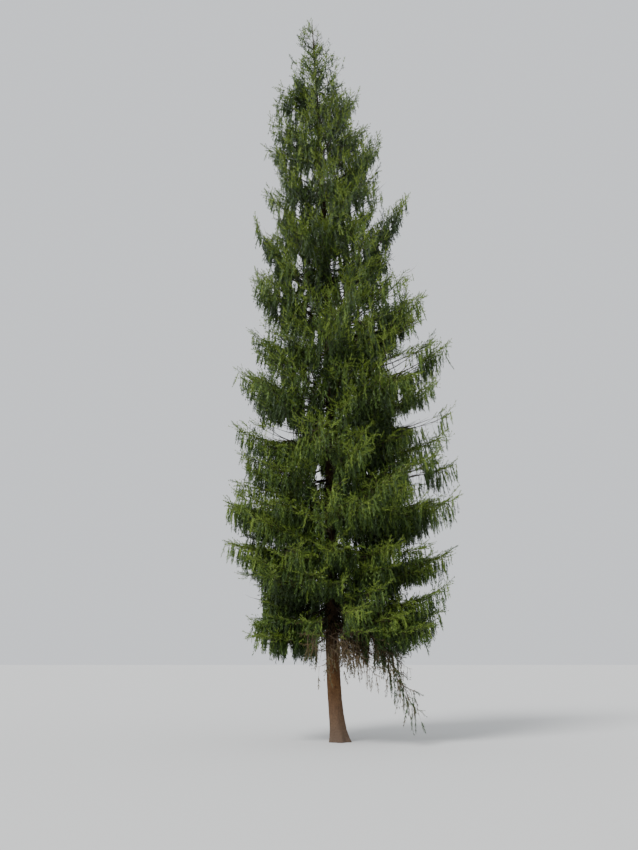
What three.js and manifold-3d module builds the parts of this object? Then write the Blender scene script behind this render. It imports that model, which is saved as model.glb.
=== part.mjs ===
// A Norway spruce, 17 m tall, in millimetres, Z up. The origin is the centre of the flat cut
// under the trunk at ground level, and the crown is seen from -Y with +X to the right.
// The trunk runs whole from its root flare to the tip. Tiers of boughs stand round it. Each bough
// of the lower tiers is a bare limb that ends in a mass of foliage. Higher up, the masses start at
// the trunk. A mass is one stem with side twigs and toothed blades, each blade a spray of needles.
import * as THREE from "three";
import { mergeVertices } from "three/addons/utils/BufferGeometryUtils.js";
import Module from "manifold-3d";

const wasm = await Module();
wasm.setup();

// Trunk
const HEIGHT = 17000;
const TRUNK_RADIUS = 152; // at the ground, without the root flare
const TIP_RADIUS = 5;
const TAPER_POWER = 0.8;
const FLARE_RADIUS = 64; // what the roots add at the ground
const FLARE_HEIGHT = 230;
const ROOT_LOBES = 5;
const ROOT_LOBE_DEPTH = 0.45; // share of the flare
const ROOT_LOBE_TURN = 1;
const BASE_SWEEP = 170; // how far the foot of the trunk bends to the left
const BASE_SWEEP_HEIGHT = 950;
const TOP_LEAN = 430; // how far the top leans on to the left
const TOP_LEAN_START = 7500;
const TOP_LEAN_POWER = 1.3; // above 1, the lean grows towards the tip
const TRUNK_SIDES = 16;
const TRUNK_RINGS = 16;
const RING_CROWDING = 1.9; // above 1, more rings near the ground

// Crown: reach of the foliage from the trunk's axis, to the left and right, at some heights
const REACH = [
  { height: 1500, left: 1700, right: 1900 },
  { height: 2300, left: 1850, right: 2350 },
  { height: 3600, left: 2150, right: 2550 },
  { height: 4700, left: 2450, right: 2700 },
  { height: 5600, left: 2280, right: 2800 },
  { height: 7200, left: 2200, right: 2700 },
  { height: 8450, left: 1950, right: 2750 },
  { height: 9700, left: 1900, right: 2400 },
  { height: 11000, left: 1780, right: 1950 },
  { height: 12200, left: 1650, right: 2000 },
  { height: 13300, left: 1420, right: 1650 },
  { height: 14400, left: 1180, right: 1250 },
  { height: 15300, left: 920, right: 920 },
  { height: 16200, left: 560, right: 600 },
  { height: HEIGHT, left: 250, right: 250 },
];
const LOWEST_TIPS = 2350; // height of the bough tips of the lowest tier
const HIGHEST_TIPS = 16600;
const WIDE_TIERS = 6; // tiers of four boughs
const NARROW_TIERS = 7; // tiers of three boughs, above them
const WIDE_COUNT = 4;
const NARROW_COUNT = 3;
const LIMB_TIERS = 3; // the lowest tiers, whose boughs are bare near the trunk
const TIER_TWIST = 0.905; // radians that each tier is turned on from the one below
const FIRST_AZIMUTH = 0.2;
const STAGGER = 260; // how far the boughs of the lowest tier differ in height
const TOP_STAGGER = 0.5; // share of that in the highest tier
const HEIGHT_CHANCE = 60; // and what chance adds to each, up or down
const REACH_CHANCE = 0.03; // share of its reach by which a bough may be longer or shorter
const WANDER = 0.1; // radians by which it may bend aside
const TIER_CROWDING = 0.93; // below 1, the tiers are closer together towards the top

// Boughs: a bough falls or rises from the trunk with slope, and then lifts towards its tip
const LOWEST_SLOPE = -0.5;
const HIGHEST_SLOPE = 0.4;
const SLOPE_POWER = 1.2; // above 1, the slope grows mostly towards the top
const LOWEST_LIFT = 0.34;
const HIGHEST_LIFT = 0.55;
const LIMB_END = 0.34; // share of the reach where the limb ends and the foliage begins
const LIMB_SIDES = 6;
const LIMB_STEPS = 3;
const LIMB_ROOT_THICKNESS = 0.0125; // radius as a share of the reach
const LIMB_TIP_THICKNESS = 0.0075;
const STEM_TIP_THICKNESS = 0.0025;
const STEM_END = 0.86; // share of the reach where the stem of a mass ends
const STEM_STEPS = 3;
const CLEARANCE = 0.3; // between a limb and what it meets

// The lowest bough on the right: thin, half dead, and hanging nearly to the ground
const LOW_BOUGH = {
  azimuth: -0.585,
  reach: 2000,
  foot: 2400,
  slope: 0.2,
  lift: -1.125,
  wander: 0,
  hang: 420,
  innerHang: 1,
  halfWedge: 0.5,
};
const LOW_LIMB_END = 0.72;

// Foliage
const HANG = 0.45; // how far foliage hangs under its bough, as a share of the reach
const LEAST_HANG = 1000;
const LOWEST_INNER_HANG = 0.6; // share of that hang next to the trunk, in the lowest tier
const HIGHEST_INNER_HANG = 1.25;
const INNER_END = 0.5; // share of the reach from which foliage hangs in full
const RISE = 240; // how far it stands above its bough
const SPACE_MARGIN = 22; // between two masses' spaces
const BLADE_THICKNESS = 0.02; // as a share of its length
const BLADE_OUTLINE = [
  [0, 0],
  [0.8, -0.46],
  [0.62, -0.17],
  [1, 0],
  [0.62, 0.17],
  [0.8, 0.46],
]; // along and across, as shares of its length and width
const BLADE_MIDDLE = 0.45;
const CORE_SIDES = 8;
const CORE_RINGS = 5;
const CORE_RUFFLE = 0.34; // how far every other corner of the core is drawn in
const CORE_START = 0.05; // shares of the reach where the dense core begins and ends
const CORE_END = 0.86;
const CORE_WIDTH = 0.47; // half width at most, as a share of the reach, for each radian of halfWedge
const CORE_OPENING = 0.84; // its share of the space's half width
const CORE_DEPTH = 0.4; // half depth, sag of the sides and drop, as shares of the hang
const CORE_SAG = 0.22;
const CORE_DROP = 0.22;
const STEM_SIDES = 3;
const TWIG_THICKNESS = 0.025; // radius at its root, as a share of its length
const TWIG_IN_SPRAY = 0.4; // how far along its spray a twig ends
const THIRD_TURN = (2 * Math.PI) / 3;

// Sprays: how many stand at the sides of a mass, hang under it and spread at its tip
const DENSE_SPRAYS = { dense: true, side: 4, hanging: 3, tip: 2 };
const SPARSE_SPRAYS = { dense: false, side: 2, hanging: 2, tip: 2 };
const SIDE_MARGIN = { inner: 0.15, outer: 0.12 }; // shares of the reach left free at the ends
const SIDE_AHEAD = { least: 0.45, most: 0.9 }; // how far a side twig leans ahead
const SIDE_OUT = { least: 0.65, most: 0.85 }; // where its spray is rooted, across the core
const SIDE_FALL = { least: 0.3, most: 0.8 };
const SIDE_DROP = 0.2;
const SIDE_DROOP = 0.1;
const LONGEST_SPRAY = 0.5; // share of the reach, where the boughs are short
const LEAST_SPRAY = 0.8; // share of the longest
const HANGING_MARGIN = { inner: 0.12, outer: 0.06 };
const HANGING_LEAN = 0.35;
const HANGING_SIZE = { least: 0.62, most: 0.68 }; // share of the hang
const HANGING_TURN = 0.5;
const HANGING_OUT = { least: 0.2, most: 0.5 };
const TIP_SPRAY_ROOT = 0.84; // share of the stem where the sprays of its tip are rooted
const SPARSE_WIDTH = 0.1; // how far the side twigs of a sparse mass reach, as a share of the reach
const ROOT_DEPTH = 0.15; // how deep a spray is rooted through a bare stem, as a share of its length

const TIER_SEED = 1000;
const SEEDS_IN_TIER = 10;
const LOW_SEED = 7;
const RANDOM_FACTOR = 1664525;
const RANDOM_STEP = 1013904223;
const RANDOM_RANGE = 2 ** 32;

const UP = new THREE.Vector3(0, 0, 1);
const BARK = new THREE.MeshStandardMaterial({ color: 0x6b4a38, roughness: 0.95, metalness: 0 });
const LIMB_BARK = new THREE.MeshStandardMaterial({ color: 0x4d3f33, roughness: 0.95, metalness: 0 });
const NEEDLES = new THREE.MeshStandardMaterial({ color: 0x34501d, roughness: 0.8, metalness: 0 });

const { lerp, clamp } = THREE.MathUtils;

// A repeatable source of random numbers from low to high: a linear congruential generator.
function seeded(seed) {
  let state = seed;
  return (low = 0, high = 1) => {
    state = (state * RANDOM_FACTOR + RANDOM_STEP) % RANDOM_RANGE;
    return lerp(low, high, state / RANDOM_RANGE);
  };
}

function trunkAxis(z) {
  const lean = clamp((z - TOP_LEAN_START) / (HEIGHT - TOP_LEAN_START), 0, 1);
  const sweep = BASE_SWEEP * (1 - Math.exp(-z / BASE_SWEEP_HEIGHT));
  return new THREE.Vector3(-sweep - TOP_LEAN * lean ** TOP_LEAN_POWER, 0, z);
}

function trunkRadius(z, azimuth = 0) {
  const taper = (1 - clamp(z / HEIGHT, 0, 1)) ** TAPER_POWER;
  const lobes = 1 + ROOT_LOBE_DEPTH * Math.cos(ROOT_LOBES * azimuth + ROOT_LOBE_TURN);
  const flare = FLARE_RADIUS * Math.exp(-z / FLARE_HEIGHT) * lobes;
  return TIP_RADIUS + (TRUNK_RADIUS - TIP_RADIUS) * taper + flare;
}

// How far the foliage reaches at a height, in a direction: an ellipse between left and right.
function reachAt(z, azimuth) {
  const above = REACH.findIndex((row) => row.height >= z);
  const high = REACH[above < 0 ? REACH.length - 1 : Math.max(above, 1)];
  const low = REACH[REACH.indexOf(high) - 1];
  const share = clamp((z - low.height) / (high.height - low.height), 0, 1);
  const side = (1 + Math.cos(azimuth)) / 2;
  return lerp(lerp(low.left, high.left, share), lerp(low.right, high.right, share), side);
}

// A three.js geometry with shared vertices merged, so that it can be bent and joined.
function welded(geometry) {
  geometry.deleteAttribute("normal");
  geometry.deleteAttribute("uv");
  return mergeVertices(geometry);
}

function solidOf(geometry) {
  const mesh = new wasm.Mesh({
    numProp: 3,
    vertProperties: new Float32Array(geometry.attributes.position.array),
    triVerts: new Uint32Array(geometry.index.array),
  });
  return new wasm.Manifold(mesh);
}

function geometryOf(solid) {
  const mesh = solid.getMesh();
  const geometry = new THREE.BufferGeometry();
  geometry.setAttribute("position", new THREE.BufferAttribute(mesh.vertProperties, 3));
  geometry.setIndex(new THREE.BufferAttribute(mesh.triVerts, 1));
  geometry.computeVertexNormals();
  return geometry;
}

// Directions ahead along a path, across it to the right, and over it.
function frameOn(path, share) {
  const step = 0.01;
  const ahead = path(share + step).sub(path(share - step)).normalize();
  const across = new THREE.Vector3().crossVectors(ahead, UP).normalize();
  const over = new THREE.Vector3().crossVectors(across, ahead);
  return { ahead, across, over };
}

// A cylinder bent and tapered along a path, a function of 0 to 1 that gives points.
function limb(path, radiusAt, sides, steps) {
  const geometry = welded(new THREE.CylinderGeometry(1, 1, 1, sides, steps));
  const place = geometry.attributes.position;
  const local = new THREE.Vector3();
  for (let i = 0; i < place.count; i++) {
    local.fromBufferAttribute(place, i);
    const share = local.y + 0.5;
    const { across, over } = frameOn(path, share);
    const point = path(share)
      .addScaledVector(across, local.x * radiusAt(share))
      .addScaledVector(over, local.z * radiusAt(share));
    place.setXYZ(i, ...point);
  }
  return solidOf(geometry);
}

function trunkSolid(grownBy = 0) {
  const geometry = welded(new THREE.CylinderGeometry(1, 1, 1, TRUNK_SIDES, TRUNK_RINGS));
  const place = geometry.attributes.position;
  const local = new THREE.Vector3();
  for (let i = 0; i < place.count; i++) {
    local.fromBufferAttribute(place, i);
    const z = HEIGHT * (local.y + 0.5) ** RING_CROWDING;
    const azimuth = Math.atan2(-local.z, local.x);
    const radius = trunkRadius(z, azimuth) + grownBy;
    const axis = trunkAxis(z);
    place.setXYZ(i, axis.x + radius * local.x, axis.y - radius * local.z, z);
  }
  return solidOf(geometry);
}

// A spray of needles: a toothed blade, thin as a double pyramid on an outline with three teeth. It
// grows from root along ahead, spreads along across, and its far end falls by droop.
function blade(root, ahead, across, length, width, droop) {
  const along = ahead.clone().normalize();
  const side = across.clone().addScaledVector(along, -across.dot(along)).normalize();
  const face = new THREE.Vector3().crossVectors(along, side);
  const at = (u, v, w) =>
    root.clone()
      .addScaledVector(along, u * length)
      .addScaledVector(side, v * width)
      .addScaledVector(face, w * length)
      .addScaledVector(UP, -droop * length * u * u);
  const half = BLADE_THICKNESS / 2;
  const points = BLADE_OUTLINE.map(([u, v]) => at(u, v, 0));
  points.push(at(BLADE_MIDDLE, 0, half), at(BLADE_MIDDLE, 0, -half));
  const count = BLADE_OUTLINE.length;
  const faces = BLADE_OUTLINE.flatMap((_, i) => {
    const next = (i + 1) % count;
    return [count, i, next, count + 1, next, i];
  });
  const geometry = new THREE.BufferGeometry().setFromPoints(points);
  geometry.setIndex(faces);
  return { solid: solidOf(geometry), points };
}

// A bough's line, which leaves the trunk at the height foot, and the space that its foliage keeps
// to: halfWedge radians to either side, and hang below the line, or innerHang of that at the trunk.
function lineOf({ azimuth, reach, foot, slope, lift, wander, hang, innerHang, halfWedge }) {
  const heightAt = (share) => foot + reach * (slope * share + lift * share * share);
  const path = (share) => {
    const turn = azimuth + wander * share * share;
    const axis = trunkAxis(foot);
    return new THREE.Vector3(
      axis.x + reach * share * Math.cos(turn),
      axis.y + reach * share * Math.sin(turn),
      heightAt(share),
    );
  };
  const frame = (share) => frameOn(path, share);
  const hangAt = (share) => hang * lerp(innerHang, 1, clamp(share / INNER_END, 0, 1));
  return { azimuth, reach, foot, path, frame, heightAt, hangAt, halfWedge };
}

// The line of one bough of a tier.
function boughLine(tier, index, count, random) {
  const rank = tier / (WIDE_TIERS + NARROW_TIERS - 1);
  const climb = 1 - (1 - rank) ** (1 / TIER_CROWDING);
  const stagger = STAGGER * (index / (count - 1) - 0.5) * lerp(1, TOP_STAGGER, rank);
  const tipHeight = lerp(LOWEST_TIPS, HIGHEST_TIPS, climb) + stagger
    + random(-HEIGHT_CHANCE, HEIGHT_CHANCE);
  const azimuth = FIRST_AZIMUTH + tier * TIER_TWIST + (index * 2 * Math.PI) / count;
  const reach = reachAt(tipHeight, azimuth) * random(1 - REACH_CHANCE, 1 + REACH_CHANCE);
  const slope = lerp(LOWEST_SLOPE, HIGHEST_SLOPE, rank ** SLOPE_POWER);
  const lift = lerp(LOWEST_LIFT, HIGHEST_LIFT, rank);
  return lineOf({
    azimuth,
    reach,
    foot: tipHeight - (slope + lift) * reach,
    slope,
    lift,
    wander: random(-WANDER, WANDER),
    hang: Math.max(LEAST_HANG, HANG * reach),
    innerHang: lerp(LOWEST_INNER_HANG, HIGHEST_INNER_HANG, rank),
    halfWedge: Math.PI / count,
  });
}

function inSpace(line, point) {
  const axis = trunkAxis(line.foot);
  const x = point.x - axis.x;
  const y = point.y - axis.y;
  const out = Math.hypot(x, y);
  const off = Math.atan2(y, x) - line.azimuth;
  const turn = Math.abs(Math.atan2(Math.sin(off), Math.cos(off)));
  const side = out * Math.sin(Math.max(0, line.halfWedge - turn));
  const level = line.heightAt(out / line.reach);
  const hang = line.hangAt(out / line.reach);
  return side > SPACE_MARGIN && point.z > level - hang && point.z < level + RISE
    && out < line.reach;
}

// Joins a blade, and the twig that carries it, to a mass if they keep to the mass's space.
function grow(mass, ...made) {
  const points = made.flatMap((piece) => piece.points);
  if (points.every((point) => inSpace(mass.line, point))) {
    mass.solids.push(...made.map((piece) => piece.solid));
  }
}

// A side twig: a slim three-sided cone from root to tip.
function twig(root, tip) {
  const geometry = new THREE.BufferGeometry();
  const ahead = tip.clone().sub(root).normalize();
  const across = new THREE.Vector3().crossVectors(ahead, UP).normalize();
  const thickness = root.distanceTo(tip) * TWIG_THICKNESS;
  const foot = [0, 1, 2].map((corner) =>
    root.clone().addScaledVector(across.clone().applyAxisAngle(ahead, corner * THIRD_TURN), thickness));
  geometry.setFromPoints([...foot, tip]);
  geometry.setIndex([0, 2, 1, 0, 1, 3, 1, 2, 3, 2, 0, 3]);
  return { solid: solidOf(geometry), points: [tip] };
}

function coreWidth(line, share) {
  const { reach, halfWedge } = line;
  return reach * Math.min(CORE_WIDTH * halfWedge, CORE_OPENING * share * Math.sin(halfWedge));
}

// The dense middle of a mass: an ellipsoid bent along its bough, with sides that sag and every
// other corner drawn in, so that it is ragged.
function coreOf(line, start) {
  const geometry = welded(new THREE.SphereGeometry(1, CORE_SIDES, CORE_RINGS));
  const place = geometry.attributes.position;
  const local = new THREE.Vector3();
  for (let i = 0; i < place.count; i++) {
    local.fromBufferAttribute(place, i);
    const share = lerp(start + CORE_START, CORE_END, (local.y + 1) / 2);
    const ring = Math.round((Math.acos(local.y) / Math.PI) * CORE_RINGS);
    const side = Math.round((Math.atan2(local.z, local.x) / (2 * Math.PI)) * CORE_SIDES);
    if ((ring + side) % 2) local.multiplyScalar(1 - CORE_RUFFLE);
    const rise = CORE_DEPTH * local.z - CORE_SAG * local.x ** 2 - CORE_DROP;
    const point = line.path(share)
      .addScaledVector(line.frame(share).across, coreWidth(line, share) * local.x)
      .addScaledVector(UP, line.hangAt(share) * rise);
    place.setXYZ(i, ...point);
  }
  return solidOf(geometry);
}

// Side twigs by turns to the left and right, each with a spray that falls away at its end.
function growSides(mass, start, random) {
  const { line, sprays, widthAt } = mass;
  for (let i = 0; i < sprays.side; i++) {
    const first = start + SIDE_MARGIN.inner;
    const share = lerp(first, STEM_END - SIDE_MARGIN.outer, (i + 0.5) / sprays.side);
    const { ahead, across } = line.frame(share);
    const heading = across.clone().multiplyScalar(i % 2 ? 1 : -1)
      .addScaledVector(ahead, random(SIDE_AHEAD.least, SIDE_AHEAD.most)).normalize();
    const longest = Math.min(line.hangAt(share), LONGEST_SPRAY * line.reach);
    const size = longest * random(LEAST_SPRAY, 1);
    const out = widthAt(share) * random(SIDE_OUT.least, SIDE_OUT.most);
    const foot = line.path(share);
    const root = foot.clone().addScaledVector(heading, out).addScaledVector(UP, -out * SIDE_DROP);
    const down = heading.clone()
      .addScaledVector(UP, -random(SIDE_FALL.least, SIDE_FALL.most)).normalize();
    const carrier = twig(foot, root.clone().addScaledVector(down, size * TWIG_IN_SPRAY));
    grow(mass, carrier, blade(root, down, ahead, size, size, SIDE_DROOP));
  }
}

// Sprays that hang under the bough like a curtain, by turns along it and across it.
function growCurtain(mass, start, random) {
  const { line, sprays, widthAt } = mass;
  for (let i = 0; i < sprays.hanging; i++) {
    const first = start + HANGING_MARGIN.inner;
    const share = lerp(first, CORE_END - HANGING_MARGIN.outer, (i + 0.5) / sprays.hanging);
    const { ahead, across } = line.frame(share);
    const down = UP.clone().negate().addScaledVector(ahead, random(0, HANGING_LEAN)).normalize();
    const size = line.hangAt(share) * random(HANGING_SIZE.least, HANGING_SIZE.most);
    const root = line.path(share);
    if (sprays.dense) {
      const out = widthAt(share) * random(HANGING_OUT.least, HANGING_OUT.most);
      root.addScaledVector(across, i % 2 ? -out : out);
      root.addScaledVector(UP, -line.hangAt(share) * CORE_DROP);
    } else {
      root.addScaledVector(down, -size * ROOT_DEPTH);
    }
    const [wide, other] = i % 2 ? [across, ahead] : [ahead, across];
    const turned = wide.clone().addScaledVector(other, random(-HANGING_TURN, HANGING_TURN));
    grow(mass, blade(root, down, turned, size, size, 0));
  }
}

function growTip(mass, start) {
  const { line, sprays } = mass;
  const { ahead, across, over } = line.frame(STEM_END);
  const rootShare = lerp(start, STEM_END, TIP_SPRAY_ROOT);
  const size = line.reach * (1 - rootShare);
  for (let i = 0; i < sprays.tip; i++) {
    grow(mass, blade(line.path(rootShare), ahead, i % 2 ? over : across, size, size, 0));
  }
}

// The foliage of one bough, from share start of its line to its tip: a stem, a core if it is
// dense, and sprays on twigs at its sides, under it and at its tip.
function massOf(line, start, sprays, random) {
  const begin = start + CLEARANCE / line.reach;
  const stemPath = (share) => line.path(lerp(begin, STEM_END, share));
  const stemRadius = (share) => line.reach * lerp(LIMB_TIP_THICKNESS, STEM_TIP_THICKNESS, share);
  const widthAt = (share) => (sprays.dense ? coreWidth(line, share) : line.reach * SPARSE_WIDTH);
  const solids = [limb(stemPath, stemRadius, STEM_SIDES, STEM_STEPS)];
  if (sprays.dense) solids.push(coreOf(line, start));
  const mass = { line, sprays, widthAt, solids };
  growSides(mass, start, random);
  growCurtain(mass, start, random);
  growTip(mass, start);
  return mass;
}

// One body out of a mass: fused, cut clear of the trunk, with no loose scrap or sealed hollow.
function joined(mass, cutBy) {
  const whole = wasm.Manifold.union(mass.solids).subtract(cutBy);
  const bodies = whole.decompose().sort((a, b) => b.volume() - a.volume());
  return bodies[0];
}

const tree = new THREE.Group();

function add(name, solid, material) {
  const mesh = new THREE.Mesh(geometryOf(solid), material);
  mesh.name = name;
  tree.add(mesh);
}

add("trunk", trunkSolid(), BARK);
const trunkCutter = trunkSolid(CLEARANCE);

function bareLimb(line, end) {
  const radiusAt = (share) => line.reach * lerp(LIMB_ROOT_THICKNESS, LIMB_TIP_THICKNESS, share);
  const whole = limb((share) => line.path(share * end), radiusAt, LIMB_SIDES, LIMB_STEPS);
  return whole.subtract(trunkCutter);
}

for (let tier = 0; tier < WIDE_TIERS + NARROW_TIERS; tier++) {
  const count = tier < WIDE_TIERS ? WIDE_COUNT : NARROW_COUNT;
  for (let index = 0; index < count; index++) {
    const random = seeded(TIER_SEED + tier * SEEDS_IN_TIER + index);
    const line = boughLine(tier, index, count, random);
    const label = `${tier + 1}_${index + 1}`;
    const start = tier < LIMB_TIERS ? LIMB_END : 0;
    if (start) add(`bough_${label}`, bareLimb(line, start), LIMB_BARK);
    const mass = massOf(line, start, DENSE_SPRAYS, random);
    add(`foliage_${label}`, joined(mass, trunkCutter), NEEDLES);
  }
}

const lowLine = lineOf(LOW_BOUGH);
const lowMass = massOf(lowLine, LOW_LIMB_END, SPARSE_SPRAYS, seeded(LOW_SEED));
add("bough_low", bareLimb(lowLine, LOW_LIMB_END), LIMB_BARK);
add("foliage_low", joined(lowMass, trunkCutter), NEEDLES);

export default tree;
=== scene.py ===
"""Norway spruce: bark, boughs, twigs and sprays of needles around the tree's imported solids.

The crown grows by the rule of the solids' source, carried on to finer twigs: each line of the
source becomes a bough with companions at both sides, each bough carries side branches, both carry
branchlets that hang like a curtain, and all of them carry sprays of needles.
"""

import functools
import itertools
import math
from collections import namedtuple
from types import SimpleNamespace

import bpy
import numpy as np
from bpy.props import FloatProperty, FloatVectorProperty, PointerProperty
from bpy.types import NodeSocket, Operator, Panel, PropertyGroup, Scene
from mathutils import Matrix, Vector


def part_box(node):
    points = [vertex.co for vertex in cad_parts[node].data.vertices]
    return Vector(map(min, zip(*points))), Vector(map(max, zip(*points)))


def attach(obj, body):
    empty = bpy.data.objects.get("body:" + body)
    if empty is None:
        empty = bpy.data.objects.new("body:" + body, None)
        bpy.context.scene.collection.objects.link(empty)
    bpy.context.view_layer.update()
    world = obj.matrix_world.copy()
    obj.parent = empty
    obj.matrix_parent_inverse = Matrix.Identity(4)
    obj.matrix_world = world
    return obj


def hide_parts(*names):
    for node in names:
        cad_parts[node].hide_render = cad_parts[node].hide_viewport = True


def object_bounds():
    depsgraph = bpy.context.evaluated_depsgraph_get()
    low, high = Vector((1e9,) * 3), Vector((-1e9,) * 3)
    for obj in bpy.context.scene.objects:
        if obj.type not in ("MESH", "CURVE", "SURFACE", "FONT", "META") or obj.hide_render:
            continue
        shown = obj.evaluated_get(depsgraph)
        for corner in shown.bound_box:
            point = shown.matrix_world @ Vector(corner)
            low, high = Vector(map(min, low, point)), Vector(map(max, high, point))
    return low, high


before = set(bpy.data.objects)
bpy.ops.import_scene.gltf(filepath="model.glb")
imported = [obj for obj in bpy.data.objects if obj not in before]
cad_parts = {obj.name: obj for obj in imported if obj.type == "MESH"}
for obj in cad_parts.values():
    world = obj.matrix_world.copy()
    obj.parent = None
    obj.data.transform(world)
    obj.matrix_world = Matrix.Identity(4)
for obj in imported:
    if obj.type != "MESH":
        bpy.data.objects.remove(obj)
CAD_LOW, CAD_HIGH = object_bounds()

bl_info = {
    "name": "Norway Spruce",
    "version": (1, 0, 0),
    "blender": (4, 5, 0),
    "location": "3D View > Sidebar > Spruce",
    "description": "Grows the bark, boughs, twigs and needles of a Norway spruce on its solids",
    "category": "Add Mesh",
}

# Trunk, as in the solids' source, in metres
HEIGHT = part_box("trunk")[1].z
TRUNK_RADIUS = 0.152
TIP_RADIUS = 0.005
TAPER_POWER = 0.8
FLARE_RADIUS = 0.064
FLARE_HEIGHT = 0.23
ROOT_LOBES = 5
ROOT_LOBE_DEPTH = 0.45
ROOT_LOBE_TURN = 1.0
BASE_SWEEP = 0.17
BASE_SWEEP_HEIGHT = 0.95
TOP_LEAN = 0.43
TOP_LEAN_START = 7.5
TOP_LEAN_POWER = 1.3

# Crown, as in the source: reach of the foliage to the left and right at some heights
REACH_HEIGHTS = (1.5, 2.3, 3.6, 4.7, 5.6, 7.2, 8.45, 9.7, 11.0, 12.2, 13.3, 14.4, 15.3, 16.2, HEIGHT)
REACH_LEFT = (1.7, 1.85, 2.15, 2.45, 2.28, 2.2, 1.95, 1.9, 1.78, 1.65, 1.42, 1.18, 0.92, 0.56, 0.25)
REACH_RIGHT = (1.9, 2.35, 2.55, 2.7, 2.8, 2.7, 2.75, 2.4, 1.95, 2.0, 1.65, 1.25, 0.92, 0.6, 0.25)
TIP_HEIGHTS = (2.35, 16.6)  # of the lowest and the highest tier, as are the slopes and lifts
WIDE_TIERS = 6
NARROW_TIERS = 7
TIERS = WIDE_TIERS + NARROW_TIERS
WIDE_COUNT = 4
NARROW_COUNT = 3
TIER_TWIST = 0.905
FIRST_AZIMUTH = 0.2
STAGGER = 0.26
TOP_STAGGER = 0.5
HEIGHT_CHANCE = 0.06
REACH_CHANCE = 0.03
WANDER = 0.1
TIER_CROWDING = 0.93
SLOPES = (-0.5, 0.4)
SLOPE_POWER = 1.2
LIFTS = (0.34, 0.55)
HANG = 0.45
LEAST_HANG = 1.0
TIER_SEED = 1000
SEEDS_IN_TIER = 10
RANDOM_FACTOR = 1664525
RANDOM_STEP = 1013904223
RANDOM_RANGE = 2 ** 32
LOW_BOUGH = {"azimuth": -0.585, "reach": 2.0, "foot": 2.4, "slope": 0.2, "lift": -1.125, "hang": 0.42}

UP = np.array((0.0, 0.0, 1.0))
EYE = np.array((-0.4235, -19.176, 1.6))  # where the camera stands
LEAST_LENGTH = 1e-9  # so that a vector without a length isn't divided by zero
HASH_FACTORS = (73856093, 19349663, 83492791)
HASH_MASK = 0x7FFFFFFF
HASH_SHIFT = 13


def mix(low, high, share):
    return low + (high - low) * share


def seeded(seed):
    """The source's repeatable random numbers from low to high."""
    state = seed

    def draw(low=0.0, high=1.0):
        nonlocal state
        state = (state * RANDOM_FACTOR + RANDOM_STEP) % RANDOM_RANGE
        return mix(low, high, state / RANDOM_RANGE)

    return draw


def unit(vectors):
    return vectors / np.maximum(np.linalg.norm(vectors, axis=-1, keepdims=True), LEAST_LENGTH)


def lattice_noise(points, seed):
    """Smooth noise from -1 to 1 at points whose unit is one cell."""
    cell = np.floor(points).astype(np.int64)
    part = points - cell
    part = part * part * (3 - 2 * part)
    total = np.zeros(points.shape[:-1])
    for corner in itertools.product((0, 1), repeat=3):
        at = cell + np.array(corner)
        code = seed
        for axis, factor in enumerate(HASH_FACTORS):
            code = code ^ (at[..., axis] * factor)
        code = (code * RANDOM_FACTOR + RANDOM_STEP) & HASH_MASK
        code = ((code ^ (code >> HASH_SHIFT)) * RANDOM_FACTOR) & HASH_MASK
        weight = np.prod(np.where(corner, part, 1 - part), axis=-1)
        total += weight * (code / HASH_MASK * 2 - 1)
    return total


def trunk_axis(z):
    z = np.asarray(z, float)
    lean = np.clip((z - TOP_LEAN_START) / (HEIGHT - TOP_LEAN_START), 0, 1)
    sweep = BASE_SWEEP * (1 - np.exp(-z / BASE_SWEEP_HEIGHT))
    return np.stack((-sweep - TOP_LEAN * lean ** TOP_LEAN_POWER, np.zeros_like(z), z), -1)


def trunk_radius(z, azimuth):
    taper = (1 - np.clip(z / HEIGHT, 0, 1)) ** TAPER_POWER
    lobes = 1 + ROOT_LOBE_DEPTH * np.cos(ROOT_LOBES * azimuth + ROOT_LOBE_TURN)
    flare = FLARE_RADIUS * np.exp(-z / FLARE_HEIGHT) * lobes
    return TIP_RADIUS + (TRUNK_RADIUS - TIP_RADIUS) * taper + flare


def reach_at(z, azimuth):
    left = np.interp(z, REACH_HEIGHTS, REACH_LEFT)
    right = np.interp(z, REACH_HEIGHTS, REACH_RIGHT)
    return mix(left, right, (1 + np.cos(azimuth)) / 2)


def tier_line(tier, index, count):
    """One line of the source's crown, by the same draws in the same order."""
    draw = seeded(TIER_SEED + tier * SEEDS_IN_TIER + index)
    rank = tier / (TIERS - 1)
    climb = 1 - (1 - rank) ** (1 / TIER_CROWDING)
    stagger = STAGGER * (index / (count - 1) - 0.5) * mix(1, TOP_STAGGER, rank)
    tip = mix(*TIP_HEIGHTS, climb) + stagger + draw(-HEIGHT_CHANCE, HEIGHT_CHANCE)
    azimuth = FIRST_AZIMUTH + tier * TIER_TWIST + index * math.tau / count
    reach = float(reach_at(tip, azimuth)) * draw(1 - REACH_CHANCE, 1 + REACH_CHANCE)
    slope = mix(*SLOPES, rank ** SLOPE_POWER)
    lift = mix(*LIFTS, rank)
    return dict(
        tier=tier, azimuth=azimuth, reach=reach, foot=tip - (slope + lift) * reach, slope=slope,
        lift=lift, wander=draw(-WANDER, WANDER), hang=max(LEAST_HANG, HANG * reach),
        half_wedge=math.pi / count)


def tip_height(line):
    return line["foot"] + (line["slope"] + line["lift"]) * line["reach"]


# Boughs

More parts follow.
